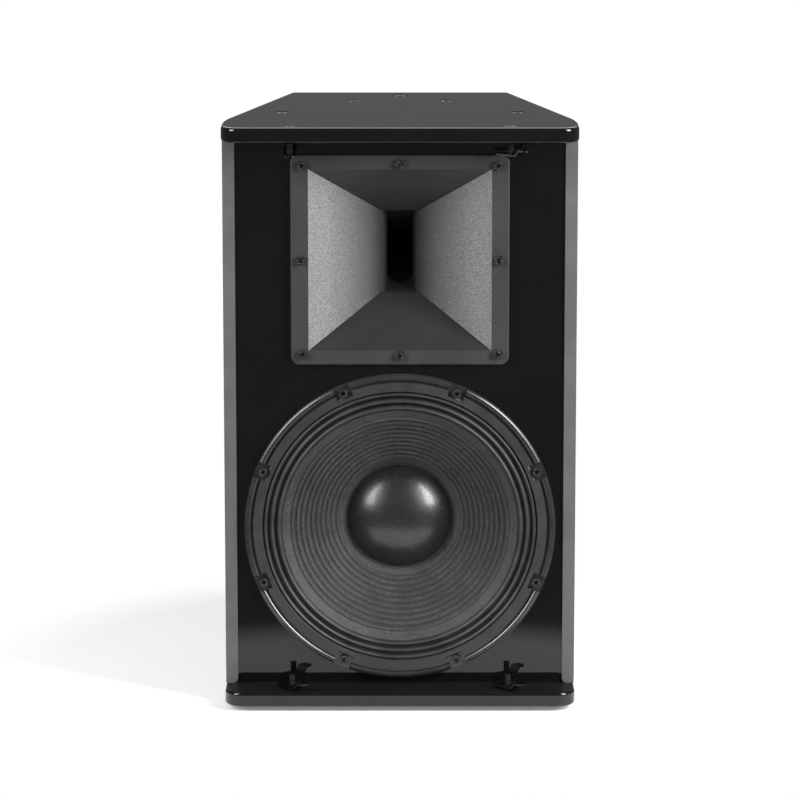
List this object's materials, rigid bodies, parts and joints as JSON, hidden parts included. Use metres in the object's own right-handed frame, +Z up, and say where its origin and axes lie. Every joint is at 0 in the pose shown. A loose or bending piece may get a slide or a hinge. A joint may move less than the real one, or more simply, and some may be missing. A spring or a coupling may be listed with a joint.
{
  "type": "pa speaker cabinet",
  "caption": "Tapered two-way PA loudspeaker cabinet in gloss black with a square horn above a ribbed woofer, turning grille latches and a rear connector dish.",
  "frame": {"origin": "on the floor under the feet, midway between the sides and between the front and back edges", "axes": "+Z up, the baffle and drivers face -Y, +X to the right as seen from the front"},
  "size_m": [0.354, 0.3017, 0.593],
  "materials": {
    "gloss_lacquer": "polished black lacquer over board",
    "side_lacquer": "polished black lacquer over plywood",
    "plain_board": "bare plywood",
    "grey_foam": "matt grey closed-cell foam",
    "lining": "white polyester fibre",
    "zinc_steel": "zinc plated",
    "black_steel": "black oxide",
    "latch_steel": "black nickel, satin",
    "bush_nylon": "black nylon",
    "rubber": "matt black rubber",
    "socket_steel": "black powder coat",
    "frame_metal": "die-cast, satin black paint",
    "trim_rubber": "satin black rubber",
    "coated_cloth": "doped black cloth",
    "cone_paper": "pressed black paper with long fibres",
    "cap_cloth": "coated black paper, semi-gloss",
    "coil": "enamelled wire on a former",
    "motor_steel": "black zinc plate",
    "ferrite": "matt ferrite",
    "dark_plastic": "moulded black",
    "horn_plastic": "fine grained dark grey moulding",
    "titanium": "formed titanium foil",
    "plate_steel": "black powder coat",
    "port_plastic": "moulded black, fine texture",
    "circuit_board": "green laminate",
    "nylon_white": "white nylon",
    "copper": "enamelled copper wire",
    "film_yellow": "wrapped film"
  },
  "bodies": {
    "cabinet": {"top_panel": "gloss_lacquer", "bottom_panel": "gloss_lacquer", "baffle": "gloss_lacquer", "side_panel_left": "side_lacquer", "side_panel_right": "side_lacquer", "back_panel": "side_lacquer", "brace": "plain_board", "foam_strip_left": "grey_foam", "foam_strip_right": "grey_foam", "wadding": "lining", "rigging_tee_nuts": "zinc_steel", "woofer_tee_nuts": "zinc_steel", "terminal_screws": "zinc_steel", "bottom_screws": "zinc_steel", "crossover_screws": "zinc_steel", "rear_rigging_insert": "zinc_steel", "hf_bolts": "zinc_steel", "rigging_screws": "black_steel", "woofer_bolts": "black_steel", "horn_screws": "black_steel", "latch_bushes": "bush_nylon", "feet": "rubber", "pole_socket": "socket_steel", "woofer_frame": "frame_metal", "woofer_spokes": "frame_metal", "woofer_cup": "frame_metal", "woofer_trim_ring": "trim_rubber", "woofer_surround": "coated_cloth", "woofer_spider": "coated_cloth", "woofer_top_plate": "motor_steel", "woofer_yoke": "motor_steel", "hf_front_plate": "motor_steel", "hf_pole_piece": "motor_steel", "hf_rear_plate": "motor_steel", "woofer_magnet": "ferrite", "hf_magnet": "ferrite", "woofer_terminals": "dark_plastic", "hf_phase_plug": "dark_plastic", "hf_cover": "dark_plastic", "speaker_sockets": "dark_plastic", "horn": "horn_plastic", "hf_surround": "titanium", "terminal_plate": "plate_steel", "port_tubes": "port_plastic", "crossover_board": "circuit_board", "crossover_posts": "nylon_white", "crossover_inductors": "copper", "crossover_capacitors": "film_yellow"},
    "latch_top_left": {"latch_screw_top_left": "black_steel", "latch_plate_top_left": "latch_steel"},
    "latch_top_right": {"latch_screw_top_right": "black_steel", "latch_plate_top_right": "latch_steel"},
    "latch_bottom_left": {"latch_screw_bottom_left": "black_steel", "latch_plate_bottom_left": "latch_steel"},
    "latch_bottom_right": {"latch_screw_bottom_right": "black_steel", "latch_plate_bottom_right": "latch_steel"},
    "cone_assembly": {"woofer_cone": "cone_paper", "woofer_dust_cap": "cap_cloth", "woofer_voice_coil": "coil"},
    "diaphragm": {"hf_diaphragm": "titanium"}
  },
  "joints": [
    {"name": "top_left_latch_turn", "type": "hinge", "parent": "cabinet", "child": "latch_top_left", "pos_m": [-0.109, -0.134, 0.564], "axis": [0, 0, 1], "continuous": true},
    {"name": "top_right_latch_turn", "type": "hinge", "parent": "cabinet", "child": "latch_top_right", "pos_m": [0.109, -0.134, 0.564], "axis": [0, 0, 1], "continuous": true},
    {"name": "bottom_left_latch_turn", "type": "hinge", "parent": "cabinet", "child": "latch_bottom_left", "pos_m": [-0.109, -0.134, 0.024], "axis": [0, 0, 1], "continuous": true},
    {"name": "bottom_right_latch_turn", "type": "hinge", "parent": "cabinet", "child": "latch_bottom_right", "pos_m": [0.109, -0.134, 0.024], "axis": [0, 0, 1], "continuous": true},
    {"name": "woofer_stroke", "type": "slide", "parent": "cabinet", "child": "cone_assembly", "axis": [0, -1, 0], "range_m": [-0.007, 0.007], "stiffness_N_per_m": 4500, "deforming": ["woofer_surround", "woofer_spider"]},
    {"name": "hf_diaphragm_stroke", "type": "slide", "parent": "cabinet", "child": "diaphragm", "axis": [0, -1, 0], "range_m": [-0.0004, 0.0004], "stiffness_N_per_m": 400, "deforming": ["hf_surround"]}
  ]
}
